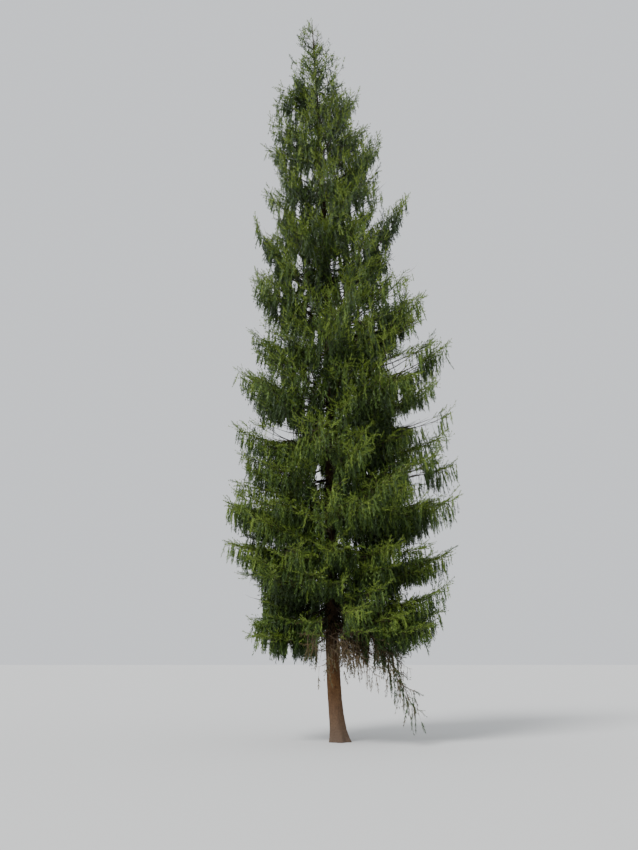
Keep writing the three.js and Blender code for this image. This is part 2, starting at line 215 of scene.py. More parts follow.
# Companions of a bough, in pairs at both its sides or alone: turns from it as shares of the half
# wedge, drops of the tip as shares of the hang, and shares of the full reach, from least to most
PAIRS = (
    ((0.5, 0.75), (-0.1, 0.2), (0.72, 0.9)),
    ((0.15, 0.5), (0.25, 0.5), (0.7, 0.92)),
    ((0.4, 0.85), (0.6, 0.95), (0.64, 0.9)),
)
LOWEST_PAIRS = 2  # fewer on the lowest tier, to keep the trunk's foot bare
WIDE_COMPANION = ((-0.5, 0.5), (0.75, 0.95), (0.3, 0.6))
NARROW_PAIR = ((0.3, 0.95), (0.1, 0.9), (0.7, 0.92))
NARROW_COMPANION = ((-0.3, 0.3), (0.5, 0.9), (0.7, 0.92))
OWN_REACH = (0.84, 0.97)  # share of the source's reach that the bough in each line's middle has
TOP_NARROWING = 0.7  # what is left of the companions' reach at the top
NARROWING_POWER = 4
SLOPE_CHANCE = 0.07

# Boughs whose tips stand out of the crown: azimuth, height of the tip, reach, slope and lift
LONE_BOUGHS = (
    (3.3, 14.87, 0.96, 0.1, 0.1),
    (2.9, 14.75, 1.08, 0.1, 0.15),
    (3.2, 14.05, 1.2, 0.05, 0.4),
    (-0.2, 14.75, 0.95, 0.1, 0.5),
    (0.2, 14.15, 1.2, 0.05, 0.55),
    (0.05, 12.3, 2.0, -0.1, 1.2),
    (-0.05, 12.0, 1.88, -0.1, 1.15),
    (-0.12, 13.4, 1.4, 0.05, 0.6),
    (0.1, 9.8, 2.3, -0.2, 0.75),
    (-0.1, 8.4, 2.65, -0.2, 0.5),
    (-0.05, 6.8, 2.65, -0.25, 0.35),
    (0.12, 5.7, 2.75, -0.4, 0.4),
    (-0.2, 4.8, 2.7, -0.45, 0.4),
    (0.0, 3.75, 2.55, -0.5, 0.45),
    (-0.25, 3.0, 2.4, -0.45, 0.5),
    (0.15, 2.55, 2.35, -0.5, 0.4),
    (-0.45, 2.2, 2.1, -0.45, 0.3),
    (3.1, 11.7, 1.78, -0.3, 1.2),
    (3.2, 11.4, 1.7, -0.3, 1.15),
    (3.3, 13.3, 1.25, 0.1, 0.1),
    (3.2, 10.0, 1.76, -0.25, 0.65),
    (3.05, 7.8, 2.05, -0.25, 0.5),
    (3.2, 6.5, 2.1, -0.35, 0.45),
    (3.1, 4.85, 2.45, -0.45, 0.4),
    (3.25, 3.95, 2.2, -0.5, 0.4),
    (3.0, 3.35, 1.9, -0.45, 0.4),
    (3.35, 2.85, 1.85, -0.5, 0.4),
    (3.05, 2.4, 1.8, -0.45, 0.35),
    (3.6, 2.05, 1.75, -0.5, 0.25),
)
LONE_COMPANIONS = 2
LONE_TURN = (0.066, 0.22)  # how far they stand beside it
LONE_DROP = (0.0, 0.2)
LONE_REACH = (0.74, 0.94)
LONE_FRINGE = 0.85  # what is left of the length of the hanging branchlets at such a bough's tip

# Dead boughs under the crown, from its front to its right, each value from least to most
DEAD_BOUGHS = 18
DEAD_TIER = TIERS + 1
DEAD_AZIMUTH = (-2.0, 0.5)
DEAD_RUN = {"reach": (0.7, 1.75), "foot": (1.95, 2.6), "slope": (-0.3, -0.05), "lift": (-0.5, -0.15)}
DEAD_CURTAIN = 2.2  # how much longer than elsewhere their hanging branchlets are
LOW_CURTAIN = 1.7  # and those of the low bough

# The run of every bough, and what holds for those that say nothing else
ORDINARY = {"wander": 0.0, "hang": 0.0, "curtain": 1.0, "lone": False}
TIP_ROOM = 0.06  # share of the reach left to the needles past a bough's tip
BOUGH_POINTS = 14
BOUGH_ROOT_DEPTH = 0.03  # how deep a bough is rooted in the trunk
BOUGH_WAVES = 2.3
BOUGH_WAVE_SIZE = 0.012  # sideways, as a share of the reach
BOUGH_SEED = 3
BOUGH_SIDES = 6
BOUGH_RELIEF = 0.3  # of their radius
KNOTS = 0.05  # distance between the bark's knots
KNOT_SEED = 0

# Whorls of short upturned shoots on the leader, from the lowest to the highest
WHORL_HEIGHTS = (15.25, 16.62)
WHORLS = 7
WHORL_SHOOTS = 5
WHORL_REACH = (0.5, 0.15)
WHORL_SLOPE = (0.6, 1.1)
WHORL_LIFT = 0.6
WHORL_CHANCE = 0.3
LEADER_START = 15.2


def both_sides(pairs):
    """Rules for the left and the right by turns, from those for the right."""
    return [
        (turn, drop, reach)
        for (least, most), drop, reach in pairs
        for turn in ((-most, -least), (least, most))
    ]


def companions(line, rng):
    """A line's own bough, and others beside and under it in the space of its mass."""
    boughs = [dict(line, reach=line["reach"] * rng.uniform(*OWN_REACH))]
    rank = line["tier"] / (TIERS - 1)
    narrowing = mix(1, TOP_NARROWING, rank ** NARROWING_POWER)
    if line["tier"] == 0:
        rules = both_sides(PAIRS[:LOWEST_PAIRS])
    elif line["tier"] < WIDE_TIERS:
        rules = both_sides(PAIRS) + [WIDE_COMPANION]
    else:
        rules = both_sides((*PAIRS, NARROW_PAIR)) + [NARROW_COMPANION]
    for turn, drop, share in rules:
        azimuth = line["azimuth"] + rng.uniform(*turn) * line["half_wedge"]
        height = tip_height(line) - rng.uniform(*drop) * line["hang"]
        reach = float(reach_at(height, azimuth)) * rng.uniform(*share) * narrowing
        slope = line["slope"] + rng.uniform(-SLOPE_CHANCE, SLOPE_CHANCE)
        lift = line["lift"] + rng.uniform(-SLOPE_CHANCE, SLOPE_CHANCE)
        foot = height - (slope + lift) * reach
        boughs.append(dict(line, azimuth=azimuth, reach=reach, slope=slope, lift=lift, foot=foot,
                           wander=rng.uniform(-WANDER, WANDER)))
    return boughs


def whorls(rng):
    """Boughs of the leader's whorls."""
    rows = []
    for whorl in range(WHORLS):
        share = whorl / (WHORLS - 1)
        for shoot in range(WHORL_SHOOTS):
            chance = rng.uniform(1 - WHORL_CHANCE, 1 + WHORL_CHANCE, 3)
            azimuth = (shoot + whorl / 2 + chance[0]) * math.tau / WHORL_SHOOTS
            reach = mix(*WHORL_REACH, share) * chance[1]
            slope = mix(*WHORL_SLOPE, share) * chance[2]
            rows.append(dict(tier=TIERS - 1, azimuth=azimuth, reach=reach, slope=slope,
                             lift=WHORL_LIFT, foot=mix(*WHORL_HEIGHTS, share)))
    return rows


def lone_boughs(rng):
    """The boughs that stand out, each in the tier whose tips are nearest, with companions."""
    tips = np.array([tip_height(tier_line(tier, 1, NARROW_COUNT)) for tier in range(TIERS)])
    rows = []
    for azimuth, tip, reach, slope, lift in LONE_BOUGHS:
        tier = int(np.argmin(np.abs(tips - tip)))
        line = dict(tier_line(tier, 0, NARROW_COUNT), slope=slope, lift=lift, lone=True)
        for companion in range(LONE_COMPANIONS + 1):
            turn, share, drop = 0, 1, 0
            if companion:
                turn = rng.uniform(*LONE_TURN) * (1 if companion % 2 else -1)
                share = rng.uniform(*LONE_REACH)
                drop = rng.uniform(*LONE_DROP)
            foot = tip - drop - (slope + lift) * reach
            rows.append(dict(line, azimuth=azimuth + turn, reach=reach * share, foot=foot))
    return rows


def dead_boughs(rng):
    """Nearly bare boughs under the crown."""
    rows = []
    for bough in range(DEAD_BOUGHS):
        share = (bough + rng.uniform(0, 1)) / DEAD_BOUGHS
        run = {key: rng.uniform(*span) for key, span in DEAD_RUN.items()}
        rows.append(dict(LOW_BOUGH, tier=DEAD_TIER, azimuth=mix(*DEAD_AZIMUTH, share),
                         curtain=DEAD_CURTAIN, **run))
    return rows


def bough_table(rng):
    """All boughs as arrays, the low one last, with the points that each runs through."""
    rows = whorls(rng) + lone_boughs(rng) + dead_boughs(rng)
    for tier in range(TIERS):
        count = WIDE_COUNT if tier < WIDE_TIERS else NARROW_COUNT
        for index in range(count):
            line = tier_line(tier, index, count)
            rows += companions(line, rng) if tier < TIERS - 1 else [line]
    rows.append(dict(LOW_BOUGH, tier=TIERS, curtain=LOW_CURTAIN, lone=True))
    rows = [dict(ORDINARY, **row) for row in rows]
    boughs = SimpleNamespace(**{key: np.array([row[key] for row in rows]) for key in rows[0]})
    boughs.reach = boughs.reach * (1 - TIP_ROOM)
    radius = trunk_radius(boughs.foot, boughs.azimuth)
    boughs.start = np.maximum(radius - BOUGH_ROOT_DEPTH, 0) / boughs.reach
    share = mix(boughs.start[:, None], 1.0, np.linspace(0, 1, BOUGH_POINTS))
    out = boughs.reach[:, None] * share
    turn = boughs.azimuth[:, None] + boughs.wander[:, None] * share ** 2
    phase = rng.uniform(0, math.tau, (len(rows), 1))
    turn = turn + BOUGH_WAVE_SIZE * np.sin(phase + BOUGH_WAVES * math.tau * share)
    axis = trunk_axis(boughs.foot)
    rise = boughs.slope[:, None] * share + boughs.lift[:, None] * share ** 2
    boughs.points = np.stack((
        axis[:, :1] + out * np.cos(turn),
        axis[:, 1:2] + out * np.sin(turn),
        boughs.foot[:, None] + boughs.reach[:, None] * rise,
    ), -1)
    return boughs


# Side branches, hanging branchlets and sprays, as strands: each a row of points

SIDE_START = 0.16  # share of the reach where the first side branch grows
SIDE_SPACING = 0.145  # along the bough
PLACE_CHANCE = (0.1, 0.9)  # where in its own share of the run a side branch or branchlet grows
SIDE_CROWDING = 0.72  # less than 1: closer towards the bough's tip
SIDE_LENGTH = 0.42  # longest, as a share of what is left of the bough
SIDE_LEAST = (0.08, 0.07)  # at the bough's tip: in metres, and as a share of the reach
SIDE_LENGTH_CHANCE = (0.7, 1.1)
SIDE_AHEAD = (0.75, 1.15)  # how far it leans ahead, against 1 to the side
SIDE_SAG = (0.2, 0.6)
SIDE_LIFT = (0.1, 0.5)
TOP_SAG = 0.2  # what is left of the sag at the top
TIP_SAG = 0.4  # and at the bough's tip
SIDE_BEND = 0.3  # how far its tip bends ahead, as a share of its length
SIDE_POINTS = 5
SIDE_THICKNESS = 0.011  # radius at its root, as a share of its length
TOOTH_SPACING = 0.11
TOOTH_LENGTH = (0.03, 0.07)  # at least, in metres, and more as shares of the bough's reach
TOOTH_REACH = (0.05, 0.17)
TOOTH_OUTER = 0.36  # what is left of that length at the bough's tip
TOOTH_END = 0.4  # and at its carrier's tip
TOOTH_SWING = (0.03, 0.34)  # how far it leans ahead, against 1 down
TOOTH_ASIDE = (0.3, 1)  # how far it leans aside, as a share of that
TOOTH_THICKNESS = 0.012
LEAST_TWIG_RADIUS = 0.0014
DEAD_TWIG_RADIUS = 0.003
TWIG_SIDES = 3
# Heights that the foliage stays above, at places from left to right
CLEAR_PLACES = (-1.6, -1.2, -0.8, -0.45, -0.3, 0.35, 1.0)
CLEAR_HEIGHTS = (1.7, 1.55, 1.42, 1.5, 2.1, 2.05, 1.72)
CLEAR_CHANCE = 0.14
LOW_CLEAR = 0.42  # the same for the low bough and the dead ones

# Gaps through the crown, as seen from the camera's side: from the left to the right and from the
# lowest to the highest place of each, at the trunk's distance
LARGE_GAPS = (
    ((-1.72, -0.82), (6.27, 6.57)),
    ((-0.5, -0.38), (5.25, 5.75)),
    ((-1.8, -1.5), (11.15, 11.75)),
    ((1.05, 1.45), (12.1, 12.85)),
    ((1.15, 2.2), (6.54, 6.92)),
    ((1.2, 2.0), (2.94, 3.12)),
    ((1.05, 1.75), (7.82, 8.16)),
    ((1.2, 2.0), (10.25, 11.0)),
    ((1.5, 1.85), (5.3, 5.65)),
    ((-2.4, -1.62), (2.35, 3.3)),
    ((-1.5, -1.44), (1.4, 2.15)),
    ((-1.1, -0.96), (1.2, 2.0)),
    ((-0.44, -0.36), (1.4, 2.15)),
    ((0.62, 0.7), (1.4, 2.2)),
)
# Chinks between the hanging branchlets, with their widths, heights and places in the crown
CHINKS = 64
CHINK_WIDTH = (0.04, 0.09)
CHINK_HEIGHT = (0.18, 0.5)
CHINK_RANGE = (6.5, 15.2)
CHINK_REACH = 0.8
CHINK_SEED = 8
# Places where the trunk shows between the boughs in front of it
TRUNK_WINDOWS = (
    ((-0.36, 0.06), (2.0, 2.8)),
    ((-0.34, -0.1), (5.2, 5.9)),
    ((-0.28, -0.06), (4.1, 4.35)),
)
IN_FRONT = -0.15  # what stands nearer than this hides the trunk
GAP_SPRAYS = 0.16  # share of the sprays and twigs that grow across such a gap
RAGGED = 0.55  # how uneven its edge is

# Small gaps all over the crown
GAP_SIZE = np.array((0.22, 0.22, 0.5))
GAP_LEVELS = (-0.56, -0.5, -0.15)  # where the noise is less there is a gap, at the heights below
GAP_HEIGHTS = (2.0, 14.8, 16.6)
GAP_SEED = 21


def spread(counts):
    """For groups with these many members: each member's group, and its place in the group."""
    group = np.repeat(np.arange(len(counts)), counts)
    first = np.repeat(np.cumsum(counts) - counts, counts)
    return group, np.arange(len(group)) - first


def along(points, group, share):
    """Points and directions on strands at a share of their run."""
    steps = points.shape[1] - 1
    place = np.clip(share, 0, 1) * steps
    low = np.minimum(place.astype(int), steps - 1)
    start = points[group, low]
    end = points[group, low + 1]
    return start + (end - start) * (place - low)[:, None], unit(end - start)


def lengths(points):
    return np.linalg.norm(np.diff(points, axis=1), axis=-1).sum(1)


def strand_set(points, bough, share, reference):
    """Strands with the bough that each belongs to and the share of its reach where it grows."""
    return SimpleNamespace(
        points=points, bough=bough, share=np.broadcast_to(share, len(bough)), length=lengths(points),
        reference=np.broadcast_to(reference, (len(bough), 3)))


def clear_height(points, rng):
    """The height above which foliage stays at these points."""
    chance = rng.uniform(-CLEAR_CHANCE, CLEAR_CHANCE, len(points))
    return np.interp(points[:, 0], CLEAR_PLACES, CLEAR_HEIGHTS) + chance


def chinks():
    """Small gaps at random places of the crown, in the same form as the large ones."""
    rng = np.random.default_rng(CHINK_SEED)
    height = rng.uniform(*CHINK_RANGE, CHINKS)
    azimuth = rng.choice((0, math.pi), CHINKS)
    off = np.cos(azimuth) * reach_at(height, azimuth) * rng.uniform(0, CHINK_REACH, CHINKS)
    place = trunk_axis(height)[:, 0] + off
    width = rng.uniform(*CHINK_WIDTH, CHINKS) / 2
    tall = rng.uniform(*CHINK_HEIGHT, CHINKS) / 2
    return [((x - w, x + w), (z - h, z + h)) for x, z, w, h in zip(place, height, width, tall)]


OPEN_WINDOWS = (*LARGE_GAPS, *chinks())


def in_window(seen, window, rng):
    """Whether places seen from the camera's side are in an oval with a ragged edge."""
    (left, right), (low, high) = window
    across = (2 * seen[:, 0] - left - right) / (right - left)
    along_height = (2 * seen[:, 2] - low - high) / (high - low)
    return across ** 2 + along_height ** 2 < 1 + rng.uniform(-RAGGED, RAGGED, len(seen))


def in_a_gap(points, rng):
    """Whether points stand in a gap through the crown or before the trunk, but for a few by chance."""
    seen = EYE + (points - EYE) * (-EYE[1] / (points[:, 1] - EYE[1]))[:, None]
    inside = np.zeros(len(points), bool)
    for window in OPEN_WINDOWS:
        inside |= in_window(seen, window, rng)
    for window in TRUNK_WINDOWS:
        inside |= in_window(seen, window, rng) & (points[:, 1] < IN_FRONT)
    return inside & (rng.uniform(size=len(points)) > GAP_SPRAYS)


def side_branches(boughs, rng):
    counts = np.ceil(boughs.reach * (1 - SIDE_START) / SIDE_SPACING).astype(int)
    group, place = spread(counts)
    even = (place + rng.uniform(*PLACE_CHANCE, len(place))) / counts[group]
    share = mix(SIDE_START, 1.0, even ** SIDE_CROWDING)
    run = (share - boughs.start[group]) / (1 - boughs.start[group])
    root, ahead = along(boughs.points, group, run)
    across = unit(np.cross(ahead, UP))
    hand = np.where(place % 2, 1.0, -1.0)[:, None]
    lean = rng.uniform(*SIDE_AHEAD, len(place))[:, None]
    heading = unit(across * hand + ahead * lean)
    reach = boughs.reach[group]
    length = SIDE_LENGTH * reach * (1 - share) + SIDE_LEAST[0] + SIDE_LEAST[1] * reach
    length *= rng.uniform(*SIDE_LENGTH_CHANCE, len(place))
    step = np.linspace(0, 1, SIDE_POINTS)[None, :, None]
    height = boughs.tier[group] / TIERS
    sag = rng.uniform(*SIDE_SAG, len(place)) * mix(1, TOP_SAG, height)
    sag = (sag * mix(1, TIP_SAG, share ** 2))[:, None, None]
    lift = rng.uniform(*SIDE_LIFT, len(place))[:, None, None]
    path = heading[:, None] * step + ahead[:, None] * SIDE_BEND * step ** 2
    path = path + UP * (lift * step ** 2 - sag * step)
    points = root[:, None] + length[:, None, None] * path
    keep = ~in_a_gap(points.mean(1), rng) & in_the_box(points[:, -1])
    return strand_set(points[keep], group[keep], share[keep], UP)


def teeth(boughs, carriers, first, rng):
    """Branchlets that hang from their carriers like a comb's teeth, from first shares outwards."""
    counts = np.maximum(1, np.round(carriers.length / TOOTH_SPACING)).astype(int)
    counts = np.where(boughs.hang[carriers.bough] > 0, counts, 0)
    group, place = spread(counts)
    bough = carriers.bough[group]
    run = (place + rng.uniform(*PLACE_CHANCE, len(place))) / counts[group]
    root, ahead = along(carriers.points, group, run)
    hand = np.where(place % 2, 1.0, -1.0)[:, None]
    across = unit(np.cross(ahead, UP)) * hand
    outwards = mix(first[group], carriers.share[group], run)
    length = boughs.reach[bough] * rng.uniform(*TOOTH_REACH, len(place))
    length += rng.uniform(*TOOTH_LENGTH, len(place))
    fringe = np.where(boughs.lone[bough], LONE_FRINGE, TOOTH_OUTER)
    length *= mix(1.0, fringe, outwards ** 2) * mix(1.0, TOOTH_END, run ** 2)
    length *= boughs.curtain[bough]
    swing = rng.uniform(*TOOTH_SWING, len(place))[:, None]
    aside = rng.uniform(*TOOTH_ASIDE, (len(place), 1))
    heading = unit(across * swing * aside + ahead * swing - UP)
    room = root[:, 2] - np.where(boughs.tier[bough] < TIERS, clear_height(root, rng), LOW_CLEAR)
    keep = (room > 0) & ~in_a_gap(root, rng) & in_the_box(root)
    length = np.minimum(length, room)
    points = np.stack((root, root + heading * length[:, None]), 1)
    return strand_set(points[keep], bough[keep], outwards[keep], across[keep])


# Sprays of needles

SPRAY_KINDS = 8
# Triangles of the shoot and of the needle at its end: places along, across and over the spray
SHOOT = ((0, -0.05, 0), (0, 0.05, 0), (0.92, 0, 0))
END_NEEDLE = ((0.8, -0.045, 0), (0.8, 0.045, 0), (1.18, 0, 0.02))
INNER_SPRAY = 1.4  # how much larger sprays are next to the trunk
NEEDLE_LENGTH = (0.17, 0.25)  # as shares of the spray's length
NEEDLE_WIDTH = 0.135
NEEDLE_AHEAD = 1.4  # how far a needle leans ahead, against 1 outwards
NEEDLE_ROLLS = (0.25, 1.15, -0.25, -1.15)  # of each pair, from the spray's plane
NEEDLE_PAIRS = len(NEEDLE_ROLLS)
ROLL_CHANCE = 0.25
FIRST_NEEDLE = 0.35  # place of the first pair, in shares of the pairs' spacing
NEEDLE_PLACE_CHANCE = 0.4
OUTER_NEEDLES = 0.45  # how much shorter the needles are at the tip
SPRAY_DROOP = 0.08
# How close sprays grow, their lengths, how far they lean to the sides and up, how unevenly they
# do that, their girth, how unlike in tone the strands are, and the bare share of each strand
SprayRule = namedtuple("SprayRule", "spacing length out rise uneven girth light bare")
BOUGH_SPRAYS = SprayRule(0.037, (0.12, 0.2), 0.6, 0.3, 0.3, 1.0, 0.1, 0.35)
SIDE_SPRAYS = SprayRule(0.046, (0.13, 0.21), 0.65, 0.05, 0.3, 1.0, 0.22, 0.1)
TOOTH_SPRAYS = SprayRule(0.1, (0.15, 0.22), 0.09, 0.0, 0.1, 0.9, 0.14, 0.0)
LEADER_SPRAYS = SprayRule(0.025, (0.09, 0.13), 0.6, 0.0, 0.2, 1.0, 0.0, 0.0)
SPRAY_PLACE_CHANCE = 0.8
OUT_CHANCE = (0.7, 1.3)
FACE_CHANCE = 0.45
SHORT_BOUGH = 0.6  # boughs of less reach are green nearly from their roots
LEAST_BARE = 0.1  # share of the bare run that they still have
YOUNG_SIZE = 0.6  # size of sprays on the shortest boughs
YOUNG_GIRTH = 1.8  # and how much stouter they are
FULL_SIZE_REACH = 2.2
PAST_TIP = 0.2  # how far needles reach past a spray's length
BOX_ROOM = 0.026  # share of the box's sides by which needles and twigs may stand out of it
DEAD_BOUGH_SPRAYS = 0.2  # share of the dead boughs' sprays that is kept, withered
LOW_BOUGH_SPRAYS = 0.9  # share of the low bough's sprays that is kept
INNER_SPRAYS = (0.18, 0.65)  # share of the sprays kept next to the trunk, at its foot and top
OUTER_SHARE = 0.65  # from this share of the reach all are kept
SPRAY_SEED = 11
GREENS = ("shaded", "deep", "middle", "bright", "fresh")  # from the darkest to the lightest
TONES = ("withered", *GREENS, "cool")
COOLED = ("deep", "middle", "bright")  # the greens that some greyer needles take the place of
# Painted light: sprays get lighter greens in the light, farther out and on the boughs' upper sides
LIGHT_WEIGHT = 0.5
REACH_WEIGHT = 0.1
UPPER_WEIGHT = 0.27
# and at the tips: partly the young needles' own lighter green, partly painted light
TIP_WEIGHT = 0.13
HANGING_UPPER = 0.5  # how far a hanging branchlet's root counts as the bough's upper side
HANGING_FALL = 0.6  # and how much less its tip does
HANGING_TIP = 0.2
TONE_CHANCE = 0.15
BOUGH_TONE_CHANCE = 0.07
TOP_SHADE = 0.2  # painted shade: the leader's needles are darker
TRUNK_SHADE = 0.34  # painted shade too: so are those next to the trunk in the lowest crown
TRUNK_SHADE_REACH = 0.8
TRUNK_SHADE_HEIGHTS = (2.4, 4.0)
LOWER_LIGHT = 0.06  # painted light: needles are lighter in the lower crown
LOWER_LIGHT_HEIGHTS = (4.2, 6.4)
COOL_HEIGHTS = (6.0, 15.0)  # from none to most of the greyer needles
COOL_SHARE = 0.5
WITHERED_SHARE = 0.35  # of the low bough's sprays
LOW_GREEN = "deep"  # the lightest green that its other sprays have
CELL = 0.2  # edge of the cells where sprays are counted, to tell how shaded a place is: painted shade
LIGHT_OUT = 0.35  # how far the light comes from outside, against 1 from above
SHADE_STEPS = 4
SHADE_DEPTH = 23.0  # this many sprays in the way take most of the light


def spray_kinds(rng):
    """Patterns of one spray: a thin shoot with pairs of needles round it, as triangles."""
    kinds = []
    half = NEEDLE_WIDTH / 2
    for _ in range(SPRAY_KINDS):
        faces = [SHOOT]
        for pair, hand in itertools.product(range(NEEDLE_PAIRS), (-1, 1)):
            foot = (pair + FIRST_NEEDLE + rng.uniform(0, NEEDLE_PLACE_CHANCE)) / NEEDLE_PAIRS
            roll = NEEDLE_ROLLS[pair] + rng.normal(0, ROLL_CHANCE)
            size = rng.uniform(*NEEDLE_LENGTH) * (1 - OUTER_NEEDLES * foot ** 2)
            tip = (foot + NEEDLE_AHEAD * size, hand * size * math.cos(roll), size * math.sin(roll))
            faces.append(((foot - half, 0, 0), (foot + half, 0, 0), tip))
        kinds.append([*faces, END_NEEDLE])
    return np.array(kinds, float).reshape(SPRAY_KINDS, -1, 3)


def sprays_on(boughs, strands, first, rule, rng):
    """Sprays by turns to both sides of strands, and one at the tip of each."""
    first = np.broadcast_to(first, len(strands.bough))
    counts = np.maximum(1, np.round(strands.length * (1 - first) / rule.spacing)).astype(int)
    group, place = spread(counts + 1)
    at_tip = place == counts[group]
    chance = rng.uniform(0, SPRAY_PLACE_CHANCE, len(place))
    run = mix(first[group], 1.0, np.where(at_tip, 1.0, (place + chance) / counts[group]))
    root, ahead = along(strands.points, group, run)
    across = unit(np.cross(ahead, strands.reference[group]))
    over = np.cross(across, ahead)
    hand = np.where(place % 2, 1.0, -1.0) * np.where(at_tip, 0.0, 1.0)
    out = rule.out * rng.uniform(*OUT_CHANCE, len(place))
    rise = rule.rise + rng.normal(0, rule.uneven, len(place))
    direction = unit(ahead + across * (hand * out)[:, None] + over * rise[:, None])
    face = unit(np.cross(direction, across * np.where(hand < 0, -1, 1)[:, None]))
    face = unit(face + rng.normal(0, FACE_CHANCE, face.shape))
    side = unit(np.cross(face, direction))
    bough = strands.bough[group]
    age = np.clip(boughs.reach[bough] / FULL_SIZE_REACH, 0, 1)
    size = rng.uniform(*rule.length, len(place)) * mix(YOUNG_SIZE, 1.0, age)
    size *= mix(INNER_SPRAY, 1.0, strands.share[group])
    girth = size * rule.girth * mix(YOUNG_GIRTH, 1.0, age)
    light = rng.normal(0, rule.light, len(strands.bough))[group]
    return SimpleNamespace(
        root=root, ahead=direction, side=side, over=np.cross(direction, side), size=size,
        girth=girth, bough=bough, share=strands.share[group], run=run, light=light,
    )


def joined(sets):
    """Several sets of strands or sprays as one."""
    keys = vars(sets[0])
    return SimpleNamespace(**{key: np.concatenate([getattr(s, key) for s in sets]) for key in keys})


def chosen(rows, keep):
    """The rows of a set that are kept."""
    return SimpleNamespace(**{key: value[keep] for key, value in vars(rows).items()})


def in_the_box(points):
    """Whether points stay in the solids' box, but for a little room."""
    low, high = np.array((CAD_LOW, CAD_HIGH))
    room = BOX_ROOM * (high - low)
    return ((points > low - room) & (points < high + room)).all(1)


def leader(bough):
    """The trunk's topmost shoot, as a strand."""
    points = trunk_axis(np.linspace(LEADER_START, HEIGHT, BOUGH_POINTS))[None]
    return strand_set(points, np.array([bough]), 1.0, (1.0, 0.0, 0.0))


@functools.cache
def crown():
    """The whole crown's boughs, side branches, hanging branchlets and sprays, grown once in a run."""
    rng = np.random.default_rng(BOUGH_SEED)
    boughs = bough_table(rng)
    stems = strand_set(boughs.points, np.arange(len(boughs.reach)), 1.0, UP)
    sides = side_branches(boughs, rng)
    hanging = joined([teeth(boughs, stems, boughs.start, rng), teeth(boughs, sides, sides.share, rng)])
    rng = np.random.default_rng(SPRAY_SEED)
    grown = (boughs.reach - SHORT_BOUGH) / (FULL_SIZE_REACH - SHORT_BOUGH)
    kinds = []
    for strands, bare, rule in (
            (stems, np.clip(grown, LEAST_BARE, 1), BOUGH_SPRAYS),
            (sides, 1.0, SIDE_SPRAYS),
            (hanging, 1.0, TOOTH_SPRAYS),
            (leader(WHORLS * WHORL_SHOOTS - 1), 1.0, LEADER_SPRAYS)):
        sprays = sprays_on(boughs, strands, rule.bare * bare, rule, rng)
        sprays.hangs = np.full(len(sprays.size), rule is TOOTH_SPRAYS)
        kinds.append(sprays)
    sprays = joined(kinds)
    sprays = chosen(sprays, living(boughs, sprays, rng))
    sprays.tone = tones(boughs, sprays, rng)
    return SimpleNamespace(boughs=boughs, sides=sides, hanging=hanging, sprays=sprays)


def living(boughs, sprays, rng):
    """Which sprays are kept: fewer inside, none below the crown, in gaps or out of the box."""
    tier = boughs.tier[sprays.bough]
    height = np.clip(sprays.root[:, 2] / HEIGHT, 0, 1)
    share = mix(mix(*INNER_SPRAYS, height), 1.0, np.clip(sprays.share / OUTER_SHARE, 0, 1))
    share = np.where(tier == TIERS, LOW_BOUGH_SPRAYS, share)
    share = np.where(tier == DEAD_TIER, DEAD_BOUGH_SPRAYS, share)
    tip = sprays.root + sprays.ahead * sprays.size[:, None]
    above = (tier >= TIERS) | (tip[:, 2] > clear_height(tip, rng))
    least = np.interp(sprays.root[:, 2], GAP_HEIGHTS, GAP_LEVELS)
    full = lattice_noise(sprays.root / GAP_SIZE, GAP_SEED) > least
    full |= boughs.lone[sprays.bough]
    by_chance = rng.uniform(size=len(share)) < share
    middle = (sprays.root + tip) / 2
    gap = in_a_gap(sprays.root, rng) | in_a_gap(middle, rng) | in_a_gap(tip, rng)
    past = tip + (tip - sprays.root) * PAST_TIP
    return above & full & by_chance & in_the_box(past) & ~gap


# Painted shade: the less light comes to a spray, the darker the green that it is given
def exposure(sprays):
    """From 0 to 1, how freely light from above and outside comes to each spray."""
    low = sprays.root.min(0) - CELL
    place = ((sprays.root - low) / CELL).astype(int)
    size = tuple(place.max(0) + 1)
    count = np.bincount(np.ravel_multi_index(place.T, size), minlength=np.prod(size)).reshape(size)
    outwards = sprays.root - trunk_axis(sprays.root[:, 2])
    light = unit(unit(outwards) * LIGHT_OUT + UP)
    shade = np.zeros(len(place))
    for step in range(1, SHADE_STEPS + 1):
        at = ((sprays.root + light * CELL * step - low) / CELL).astype(int)
        free = ((at < 0) | (at >= size)).any(1)
        at = np.clip(at, 0, np.array(size) - 1)
        shade += np.where(free, 0, count[tuple(at.T)])
    return np.exp(-shade / SHADE_DEPTH)


